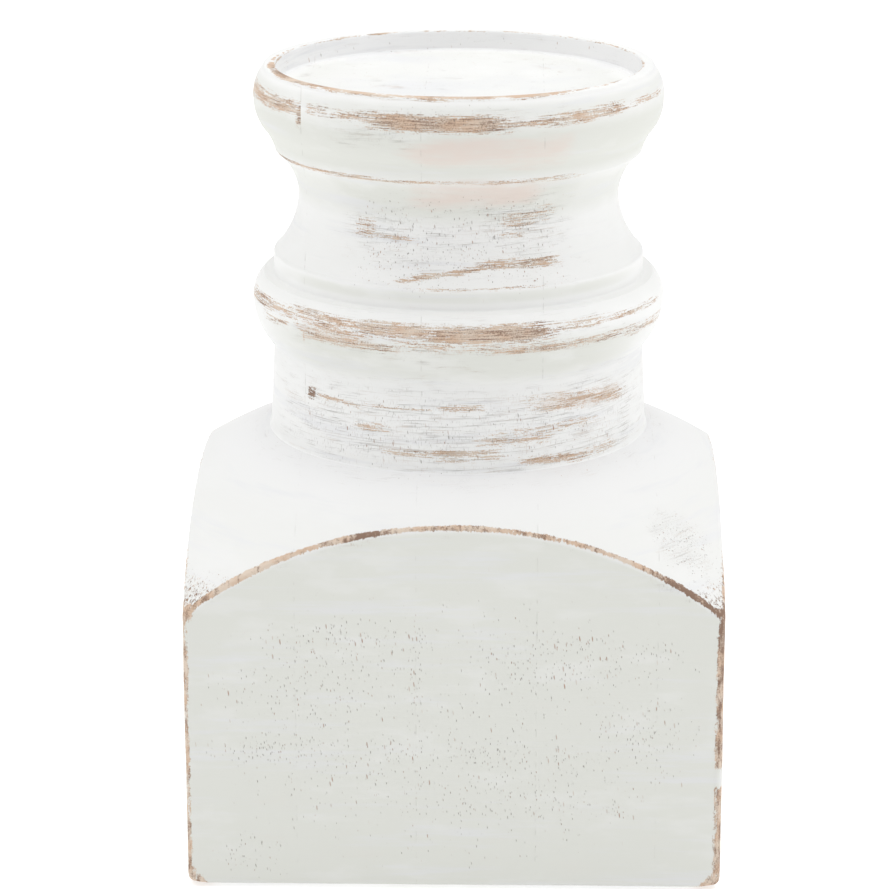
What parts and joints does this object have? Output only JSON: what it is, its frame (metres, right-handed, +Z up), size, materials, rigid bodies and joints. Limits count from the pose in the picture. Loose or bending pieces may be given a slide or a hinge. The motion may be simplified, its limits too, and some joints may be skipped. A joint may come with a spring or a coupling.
{
  "type": "wooden candlestick",
  "caption": "Turned wooden pillar-candle holder: a round column with bead, cove and shallow candle recess on a square block with arched faces, in worn white paint.",
  "frame": {"origin": "on the table, under the middle of the square block, level with the undersides of the felt pads", "axes": "+Z up along the turned column's axis, +X to the right across the glued boards, -Y the front face"},
  "size_m": [0.114, 0.114, 0.1688],
  "materials": {
    "column_whitewash": "distressed white paint over wood, worn brown on the high edges",
    "block_whitewash": "distressed off-white paint over open-pored wood, worn brown on the arrises",
    "dowel_beech": "bare beech, fluted",
    "felt": "stick-on wool felt"
  },
  "bodies": {
    "root": {"column_board_left_outer": "column_whitewash", "column_board_left": "column_whitewash", "column_board_middle": "column_whitewash", "column_board_right": "column_whitewash", "block_board_left_outer": "block_whitewash", "block_board_left": "block_whitewash", "block_board_middle": "block_whitewash", "block_board_right": "block_whitewash", "block_board_right_outer": "block_whitewash", "joining_dowel": "dowel_beech", "felt_pad_front_left": "felt", "felt_pad_front_right": "felt", "felt_pad_back_left": "felt", "felt_pad_back_right": "felt"}
  },
  "joints": []
}
